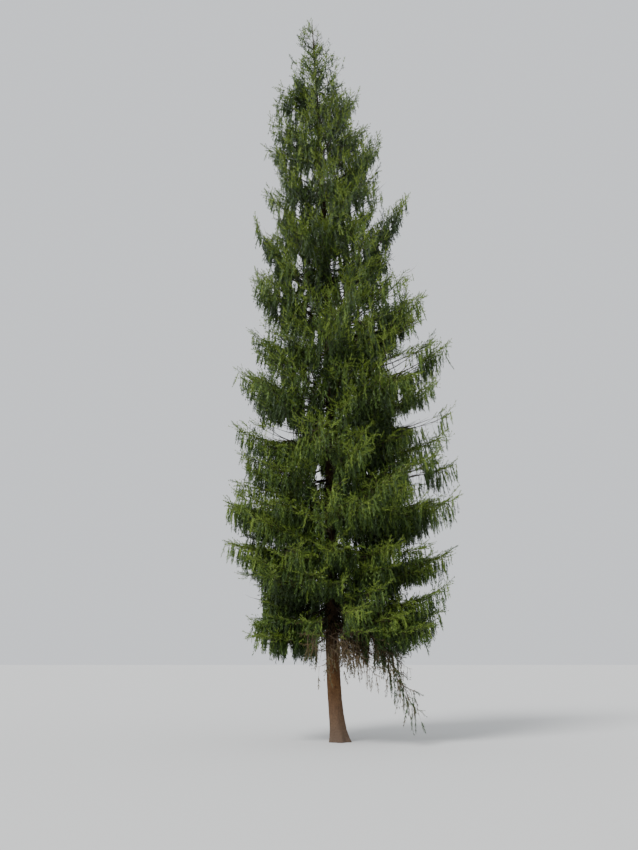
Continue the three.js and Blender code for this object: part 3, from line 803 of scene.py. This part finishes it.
def tones(boughs, sprays, rng):
    """Which tone each spray's needles have, with painted light: brighter ones in the light and at the tips.
    """
    height = sprays.root[:, 2]
    upper = np.where(sprays.hangs, HANGING_UPPER - HANGING_FALL * sprays.run, 1.0)
    tip = np.where(sprays.hangs, HANGING_TIP, sprays.run)
    light = LIGHT_WEIGHT * exposure(sprays) + REACH_WEIGHT * sprays.share
    light += UPPER_WEIGHT * upper + TIP_WEIGHT * tip + sprays.light
    light += LOWER_LIGHT * np.interp(height, LOWER_LIGHT_HEIGHTS, (1, 0))
    light += rng.normal(0, BOUGH_TONE_CHANCE, len(boughs.reach))[sprays.bough]
    light -= TOP_SHADE * np.interp(height, (LEADER_START, HEIGHT), (0, 1))
    out = np.linalg.norm((sprays.root - trunk_axis(height))[:, :2], axis=1)
    by_trunk = np.exp(-(out / TRUNK_SHADE_REACH) ** 2)
    light -= TRUNK_SHADE * by_trunk * np.interp(height, TRUNK_SHADE_HEIGHTS, (1, 0))
    light += rng.normal(0, TONE_CHANCE, len(light))
    green = np.clip((light * len(GREENS)).astype(int), 0, len(GREENS) - 1)
    tone = green + TONES.index(GREENS[0])
    withers = rng.uniform(size=len(tone)) < WITHERED_SHARE
    dull = np.minimum(tone, TONES.index(LOW_GREEN))
    cool = rng.uniform(size=len(tone)) < COOL_SHARE * np.interp(height, COOL_HEIGHTS, (0, 1))
    cool &= np.isin(tone, [TONES.index(green) for green in COOLED])
    tone = np.where(cool, TONES.index("cool"), tone)
    tier = boughs.tier[sprays.bough]
    withers |= tier == DEAD_TIER
    return np.where(tier >= TIERS, np.where(withers, TONES.index("withered"), dull), tone)


# Meshes

STEEP = 0.05  # a tube whose run is less level than this has its sides set out from the x axis


def wall(sides, rings):
    """Triangles between rings of vertices that follow each other."""
    here = np.arange(sides)
    after = (here + 1) % sides
    low = np.arange(rings - 1)[:, None] * sides
    high = low + sides
    halves = (low + here, low + after, high + after), (low + here, high + after, high + here)
    return np.stack([np.stack(half, -1) for half in halves], 1).reshape(-1, 3)


def cone(ring, tip):
    """Triangles between a ring of vertices and one more."""
    return np.stack((ring, np.roll(ring, -1), np.full(len(ring), tip)), -1)


def tubes(points, radii, sides, relief=0):
    """Tubes with these many sides that end in a point, as vertices and triangles."""
    count, steps = points.shape[:2]
    ahead = unit(np.gradient(points, axis=1))
    level = np.stack((-ahead[..., 1], ahead[..., 0], np.zeros(ahead.shape[:2])), -1)
    steep = np.linalg.norm(level, axis=-1, keepdims=True) < STEEP
    level = np.where(steep, (1.0, 0.0, 0.0), level)
    across = unit(level - ahead * (level * ahead).sum(-1, keepdims=True))
    over = np.cross(ahead, across)
    angle = np.arange(sides) * math.tau / sides
    ring = across[:, :, None] * np.cos(angle)[:, None] + over[:, :, None] * np.sin(angle)[:, None]
    thick = radii[:, :, None, None]
    if relief:
        knots = lattice_noise((points[:, :, None] + ring * thick) / KNOTS, KNOT_SEED)
        thick = thick * (1 + relief * knots[..., None])
    rings = points[:, :, None] + ring * thick
    body = rings[:, :-1].reshape(count, -1, 3)
    vertices = np.concatenate((body, points[:, -1:]), 1)
    tip = (steps - 1) * sides
    faces = np.concatenate((wall(sides, steps - 1), cone(np.arange(tip - sides, tip), tip)))
    faces = faces + (np.arange(count) * vertices.shape[1])[:, None, None]
    return vertices.reshape(-1, 3), faces.reshape(-1, 3)


def new_object(name, data):
    """An object in the scene."""
    made = bpy.data.objects.new(name, data)
    bpy.context.scene.collection.objects.link(made)
    return made


def new_piece(name, vertices, triangles, materials, tone=None, smooth=False):
    """An object of triangles; tone gives each one's place among the materials."""
    mesh = bpy.data.meshes.new(name)
    mesh.vertices.add(len(vertices))
    mesh.vertices.foreach_set("co", np.asarray(vertices, np.float32).ravel())
    mesh.loops.add(triangles.size)
    mesh.loops.foreach_set("vertex_index", np.asarray(triangles, np.int32).ravel())
    mesh.polygons.add(len(triangles))
    mesh.polygons.foreach_set("loop_start", np.arange(0, triangles.size, 3, dtype=np.int32))
    for material in materials:
        mesh.materials.append(material)
    if tone is not None:
        mesh.polygons.foreach_set("material_index", np.asarray(tone, np.int32))
    mesh.update(calc_edges=True)
    if smooth:
        mesh.shade_smooth()
    else:
        mesh.shade_flat()
    return new_object(name, mesh)


# Bark

TRUNK_SIDES = 72
FINE_HEIGHT = 2.7  # up to here the trunk can be seen and its rings are close
FINE_RINGS = 230
HIGH_RINGS = 80
BARK_SEED = 5
PLATE_SIZE = (0.032, 0.07)  # across and along the trunk
PLATE_RELIEF = 0.0045
PLATE_SHARPNESS = 4
FURROW_SIZE = (0.055, 0.5)
FURROW_RELIEF = 0.006
FURROW_FADE = 1.5  # height over which the furrows get shallow
GRAIN_SIZE = (0.011, 0.024)
GRAIN_RELIEF = 0.0012
MOST_RELIEF = 0.3  # of the trunk's radius
SMOOTH_RADIUS = 0.05  # thinner than this, the trunk gets smoother


def cells(points, size):
    """Coordinates whose cells are this wide across the trunk and this long along it."""
    return points / np.array((size[0], size[0], size[1]))


def bark_relief(points):
    """How far bark stands out: furrows wide apart, flat plates between cracks, and fine grain."""
    furrow = 1 - 2 * np.abs(lattice_noise(cells(points, FURROW_SIZE), BARK_SEED))
    plate = np.abs(lattice_noise(cells(points, PLATE_SIZE), BARK_SEED + 1))
    plate = np.clip(plate * PLATE_SHARPNESS, 0, 1)
    grain = lattice_noise(cells(points, GRAIN_SIZE), BARK_SEED + 2)
    fade = np.exp(-points[..., 2] / FURROW_FADE)
    return (PLATE_RELIEF * (plate - 1) - FURROW_RELIEF * fade * np.clip(furrow, 0, 1)
            + GRAIN_RELIEF * grain)


def trunk_mesh():
    """The whole trunk as a closed mesh, with bark in relief: vertices and triangles."""
    fine = np.linspace(0, FINE_HEIGHT, FINE_RINGS, endpoint=False)
    z = np.concatenate((fine, np.linspace(FINE_HEIGHT, HEIGHT, HIGH_RINGS)))[:, None]
    azimuth = (np.arange(TRUNK_SIDES) * math.tau / TRUNK_SIDES)[None]
    axis = trunk_axis(z[:, 0])[:, None]
    level = np.stack((np.cos(azimuth), np.sin(azimuth), np.zeros_like(azimuth)), -1)
    radius = np.broadcast_to(trunk_radius(z, azimuth), (len(z), TRUNK_SIDES))
    smooth = axis + level * radius[..., None]
    relief = np.minimum(bark_relief(smooth), MOST_RELIEF * radius)
    relief = relief * np.clip(radius / SMOOTH_RADIUS, 0, 1)
    body = (axis + level * (radius + relief)[..., None]).reshape(-1, 3)
    ends = np.array((axis[0, 0], axis[-1, 0]))
    foot = len(body)
    faces = (
        wall(TRUNK_SIDES, len(z)),
        cone(np.arange(TRUNK_SIDES), foot)[:, (1, 0, 2)],
        cone(np.arange(foot - TRUNK_SIDES, foot), foot + 1),
    )
    return np.concatenate((body, ends)), np.concatenate(faces)


# Materials

PLAIN_SPECULAR = 0.35
NEEDLE_ROUGHNESS = 0.55
TWIG_ROUGHNESS = 0.9
SCALE_SIZES = (46.0, 46.0, 20.0)  # scales of bark to a metre, across and along the trunk
CRACK_WIDTH = 0.06
CRACK_DEPTH = 0.85
STREAK_SCALE = (9.0, 9.0, 2.2)
SCALE_TONES = 0.3  # how much the scales' tones differ
SCALE_RAMP = (0.45, 0.85)  # tones from which a scale is middle brown, and pale
BLOTCH_DETAIL = 8.0
BLOTCH_ROUGHNESS = 0.65
BARK_ROUGHNESS = 0.92
BARK_SPECULAR = 0.2
BUMP_STRENGTH = 0.6
BUMP_DEPTH = 0.004
GREY_HEIGHTS = (0.05, 1.1)
SHADE_HEIGHTS = (1.2, 2.35)  # painted shade: the bark darkens between these, towards the crown that shades it
SHADE = (0.36, 0.44, 0.48)  # what is left of its red, green and blue there


def fill(node, inputs):
    """Give a node's inputs their values, or link them to the outputs of other nodes."""
    for key, value in inputs.items():
        if isinstance(value, NodeSocket):
            node.id_data.links.new(value, node.inputs[key])
        else:
            node.inputs[key].default_value = value


def new_material(name, roughness, specular):
    """A material and its shader."""
    material = bpy.data.materials.new(name)
    material.use_nodes = True
    shader = material.node_tree.nodes["Principled BSDF"]
    fill(shader, {"Roughness": roughness, "Specular IOR Level": specular})
    return material, shader


def plain_material(name, colour, roughness):
    """A material with one base colour."""
    material, shader = new_material(name, roughness, PLAIN_SPECULAR)
    fill(shader, {"Base Color": (*colour, 1)})
    return material


def bark_material(name, dark, middle, pale, foot_grey):
    """Scaly bark: thin cracks, scales of uneven tone, blotches, greyer towards the ground."""
    material, shader = new_material(name, BARK_ROUGHNESS, BARK_SPECULAR)

    def node(kind, output, inputs=(), **settings):
        """The output of a new node."""
        made = material.node_tree.nodes.new("ShaderNode" + kind)
        for key, value in settings.items():
            setattr(made, key, value)
        fill(made, dict(inputs))
        return made.outputs[output]

    def blend(share, low, high, **settings):
        """Two colours mixed by a share."""
        return node("Mix", "Result", {"Factor": share, "A": low, "B": high}, data_type="RGBA", **settings)

    place = node("TexCoord", "Object")
    height = node("SeparateXYZ", "Z", {"Vector": place})
    stretched = node("Mapping", "Vector", {"Vector": place, "Scale": SCALE_SIZES})
    cracks = node("TexVoronoi", "Distance", {"Vector": stretched, "Scale": 1.0}, feature="DISTANCE_TO_EDGE")
    scales = node("TexVoronoi", "Color", {"Vector": stretched, "Scale": 1.0})
    streaked = node("Mapping", "Vector", {"Vector": place, "Scale": STREAK_SCALE})
    blotches = node("TexNoise", "Fac", {
        "Vector": streaked, "Scale": 1.0, "Detail": BLOTCH_DETAIL, "Roughness": BLOTCH_ROUGHNESS})
    tone = node("Math", "Value", {0: scales, 1: SCALE_TONES, 2: blotches}, operation="MULTIPLY_ADD")
    plates = node("ValToRGB", "Color", {"Fac": tone})
    for stop, position, colour in zip(plates.node.color_ramp.elements, SCALE_RAMP, (middle, pale)):
        stop.position = position
        stop.color = (*colour, 1)
    edge = node("MapRange", "Result", {
        "Value": cracks, "From Max": CRACK_WIDTH, "To Min": 1 - CRACK_DEPTH})
    low = node("MapRange", "Result", {
        "Value": height, "From Min": GREY_HEIGHTS[0], "From Max": GREY_HEIGHTS[1],
        "To Min": 1.0 if foot_grey else 0.0, "To Max": 0.0})
    # Painted shade: the bark gets darker towards the crown, which shades the trunk and boughs
    high = node("MapRange", "Result", {
        "Value": height, "From Min": SHADE_HEIGHTS[0], "From Max": SHADE_HEIGHTS[1]})
    greyed = blend(low, plates, (*(foot_grey or pale), 1))
    cracked = blend(edge, (*dark, 1), greyed)
    shaded = blend(high, cracked, (*SHADE, 1), blend_type="MULTIPLY")
    bump = node("Bump", "Normal", {
        "Height": edge, "Strength": BUMP_STRENGTH, "Distance": BUMP_DEPTH})
    fill(shader, {"Base Color": shaded, "Normal": bump})
    return material


# Stage

FLOOR_HALF = 300.0
FLOOR_CORNERS = np.array(((-1, -1, 0), (1, -1, 0), (1, 1, 0), (-1, 1, 0))) * FLOOR_HALF
FLOOR_TRIANGLES = np.array(((0, 1, 2), (0, 2, 3)))
CAMERA_RANGE = 4 * FLOOR_HALF
FLOOR_COLOUR = (0.62, 0.62, 0.61)
FLOOR_ROUGHNESS = 0.9
SKY_COLOUR = (0.93, 0.96, 1.0)
KEY_SOFTNESS = math.radians(20)
KEY_DIRECTION = (0.55, 0.75, -1.0)


# Settings

def colour(name, description, default):
    """A colour that a user may change."""
    return FloatVectorProperty(
        name=name, description=description, default=default, subtype="COLOR", min=0, max=1)


def number(name, description, default, low, high, **kind):
    """A number that a user may change, with its unit or subtype where it has one."""
    return FloatProperty(
        name=name, description=description, default=default, min=low, max=high, **kind)


class SpruceColours(PropertyGroup):
    """Colours of the needles and the bark."""

    withered: colour("Withered needles", "Dying needles of the low and dead boughs", (0.075, 0.058, 0.022))
    # The shaded and deep greens are painted shade, given to needles under other sprays and boughs
    shaded: colour("Shaded needles", "Oldest needles, deep in the crown", (0.023, 0.043, 0.010))
    deep: colour("Deep green needles", "Needles of the hanging branchlets", (0.027, 0.056, 0.008))
    middle: colour("Middle green needles", "Most needles of the outer crown", (0.050, 0.092, 0.012))
    # Painted light: the bright green goes to sprays on the boughs' upper sides, where light falls
    bright: colour("Bright green needles", "Needles on the boughs' upper sides", (0.079, 0.131, 0.015))
    # Fresh needles are young growth, and their lightness is partly painted light on the tips
    fresh: colour("Fresh needles", "Yellow-green needles at the outermost tips", (0.138, 0.200, 0.025))
    cool: colour("Grey green needles", "Greyer needles high in the crown", (0.061, 0.086, 0.045))
    bark: colour("Bark", "Reddish brown plates of the trunk's bark", (0.080, 0.037, 0.014))
    pale_bark: colour("Pale bark", "Lighter blotches on the plates", (0.165, 0.084, 0.034))
    grey_bark: colour("Grey bark", "Weathered bark at the foot", (0.112, 0.078, 0.055))
    cracks: colour("Cracks", "Cracks between the plates", (0.040, 0.019, 0.010))
    dead_twig: colour("Dead twigs", "Weathered twigs under the crown", (0.125, 0.085, 0.052))
    twig: colour("Twigs", "Thin bark of the boughs and twigs", (0.060, 0.042, 0.026))


class SpruceSizes(PropertyGroup):
    """Sizes that shape the fine growth."""

    bough_thickness: number(
        "Bough thickness", "Radius at the trunk, as a share of the bough's reach", 0.0125, 0.005, 0.03)
    tip_thickness: number(
        "Bough tip thickness", "Radius at the tip, as a share of the reach", 0.0016, 0.0005, 0.01)


class SpruceStage(PropertyGroup):
    """The light and the viewpoint."""

    eye_height: number(
        "Eye height", "Height of the camera above the ground", EYE[2], 0.1, 30, unit="LENGTH")
    distance: number(
        "Distance", "From the camera to the trunk, along the ground", -EYE[1], 1, 100, unit="LENGTH")
    aside: number(
        "Aside", "How far the camera stands to the right of the trunk", EYE[0], -20, 20, unit="LENGTH")
    tilt: number(
        "Tilt", "How far the camera looks up", math.radians(14.634), -1.5, 1.5, subtype="ANGLE")
    lens: number("Focal length", "Focal length of the camera, in millimetres", 38.12, 10, 300)
    sun: number("Key light", "Strength of the soft key light", 3.35, 0, 20)
    sky: number("Fill light", "Strength of the light from all around", 0.95, 0, 10)


class SPRUCE_OT_trunk(Operator):
    """Make the trunk, with its root flare and bark in relief"""

    bl_idname = "spruce.trunk"
    bl_label = "Trunk"

    def execute(self, context):
        colours = context.scene.spruce_colours
        material = bark_material(
            "trunk_bark", colours.cracks, colours.bark, colours.pale_bark, colours.grey_bark)
        piece = new_piece("trunk_bark", *trunk_mesh(), [material], smooth=True)
        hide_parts("trunk")
        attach(piece, "root")
        return {"FINISHED"}


class SPRUCE_OT_boughs(Operator):
    """Make the main boughs, tapering from the trunk to their tips"""

    bl_idname = "spruce.boughs"
    bl_label = "Boughs"

    def execute(self, context):
        colours = context.scene.spruce_colours
        sizes = context.scene.spruce_sizes
        boughs = crown().boughs
        share = np.linspace(0, 1, BOUGH_POINTS)[None]
        thick = boughs.reach[:, None] * mix(sizes.bough_thickness, sizes.tip_thickness, share)
        vertices, triangles = tubes(boughs.points, thick, BOUGH_SIDES, BOUGH_RELIEF)
        material = bark_material("bough_bark", colours.cracks, colours.twig, colours.bark, None)
        piece = new_piece("boughs", vertices, triangles, [material], smooth=True)
        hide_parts(*sorted(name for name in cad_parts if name.startswith("bough")))
        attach(piece, "root")
        return {"FINISHED"}


class SPRUCE_OT_twigs(Operator):
    """Make the side branches and the hanging branchlets"""

    bl_idname = "spruce.twigs"
    bl_label = "Twigs"

    def execute(self, context):
        colours = context.scene.spruce_colours
        live = plain_material("twig_bark", colours.twig, TWIG_ROUGHNESS)
        bare = plain_material("dead_twig_bark", colours.dead_twig, TWIG_ROUGHNESS)
        for name, strands, thickness in (
                ("side_branches", crown().sides, SIDE_THICKNESS),
                ("hanging_branchlets", crown().hanging, TOOTH_THICKNESS)):
            share = np.linspace(0, 1, strands.points.shape[1])[None]
            dead = crown().boughs.tier[strands.bough] >= TIERS
            least = np.where(dead, DEAD_TWIG_RADIUS, LEAST_TWIG_RADIUS)
            thick = (strands.length * thickness)[:, None] * (1 - share) + least[:, None]
            vertices, triangles = tubes(strands.points, thick, TWIG_SIDES)
            tone = np.repeat(dead, len(triangles) // len(dead))
            piece = new_piece(name, vertices, triangles, [live, bare], tone)
            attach(piece, "root")
        return {"FINISHED"}


class SPRUCE_OT_needles(Operator):
    """Make the sprays of needles, tier by tier, in place of the solid foliage"""

    bl_idname = "spruce.needles"
    bl_label = "Needles"

    def execute(self, context):
        colours = context.scene.spruce_colours
        materials = [
            plain_material(f"needles_{tone}", getattr(colours, tone), NEEDLE_ROUGHNESS)
            for tone in TONES
        ]
        rng = np.random.default_rng(SPRAY_SEED)
        kinds = spray_kinds(rng)
        tiers = np.minimum(crown().boughs.tier[crown().sprays.bough], TIERS)
        for tier in range(TIERS + 1):
            sprays = chosen(crown().sprays, tiers == tier)
            count = len(sprays.size)
            local = kinds[rng.integers(SPRAY_KINDS, size=count)]
            size = sprays.size[:, None, None]
            girth = sprays.girth[:, None, None]
            run, across, over = np.moveaxis(local, -1, 0)[..., None]
            vertices = (
                sprays.root[:, None] + size * run * sprays.ahead[:, None]
                + girth * across * sprays.side[:, None] + girth * over * sprays.over[:, None]
                - size * SPRAY_DROOP * run ** 2 * UP
            )
            faces = local.shape[1] // 3
            triangles = np.arange(count * faces * 3).reshape(-1, 3)
            tone = np.repeat(sprays.tone, faces)
            label = "low" if tier == TIERS else str(tier + 1)
            piece = new_piece(f"needles_{label}", vertices.reshape(-1, 3), triangles, materials, tone)
            nodes = [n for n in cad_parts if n.split("_")[:2] == ["foliage", label]]
            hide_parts(*sorted(nodes))
            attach(piece, "root")
        return {"FINISHED"}


class SPRUCE_OT_stage(Operator):
    """Set up the pale floor, the soft light and the camera"""

    bl_idname = "spruce.stage"
    bl_label = "Stage"

    def execute(self, context):
        stage = context.scene.spruce_stage
        material = plain_material("floor", FLOOR_COLOUR, FLOOR_ROUGHNESS)
        floor = new_piece("floor", FLOOR_CORNERS, FLOOR_TRIANGLES, [material])

        world = bpy.data.worlds.new("pale_sky")
        world.use_nodes = True
        fill(world.node_tree.nodes["Background"], {"Color": (*SKY_COLOUR, 1), "Strength": stage.sky})
        context.scene.world = world

        light = bpy.data.lights.new("key", "SUN")
        light.energy = stage.sun
        light.angle = KEY_SOFTNESS
        key = new_object("key", light)
        key.rotation_euler = Vector(KEY_DIRECTION).to_track_quat("-Z", "Y").to_euler()

        camera = new_object("camera", bpy.data.cameras.new("camera"))
        camera.location = (stage.aside, -stage.distance, stage.eye_height)
        camera.rotation_euler = (math.pi / 2 + stage.tilt, 0, 0)
        camera.data.lens = stage.lens
        camera.data.clip_end = CAMERA_RANGE
        context.scene.camera = camera
        return {"FINISHED"}


class SPRUCE_PT_panel(Panel):
    """The steps that grow the tree, in order"""

    bl_idname = "SPRUCE_PT_panel"
    bl_label = "Norway Spruce"
    bl_space_type = "VIEW_3D"
    bl_region_type = "UI"
    bl_category = "Spruce"

    def draw(self, context):
        for settings in ("spruce_sizes", "spruce_colours", "spruce_stage"):
            group = getattr(context.scene, settings)
            box = self.layout.box()
            for key in group.bl_rna.properties.keys():
                if key not in ("rna_type", "name"):
                    box.prop(group, key)
        for step in STEPS:
            self.layout.operator(step.bl_idname)


STEPS = (SPRUCE_OT_stage, SPRUCE_OT_trunk, SPRUCE_OT_boughs, SPRUCE_OT_twigs, SPRUCE_OT_needles)
SETTINGS = {
    "spruce_sizes": SpruceSizes,
    "spruce_colours": SpruceColours,
    "spruce_stage": SpruceStage,
}


def register():
    for made in (*SETTINGS.values(), *STEPS, SPRUCE_PT_panel):
        bpy.utils.register_class(made)
    for name, settings in SETTINGS.items():
        setattr(Scene, name, PointerProperty(type=settings))


def unregister():
    for name in SETTINGS:
        delattr(Scene, name)
    for made in reversed((*SETTINGS.values(), *STEPS, SPRUCE_PT_panel)):
        bpy.utils.unregister_class(made)


def main():
    register()
    for step in STEPS:
        group, name = step.bl_idname.split(".")
        getattr(getattr(bpy.ops, group), name)()


if __name__ == "__main__":
    main()
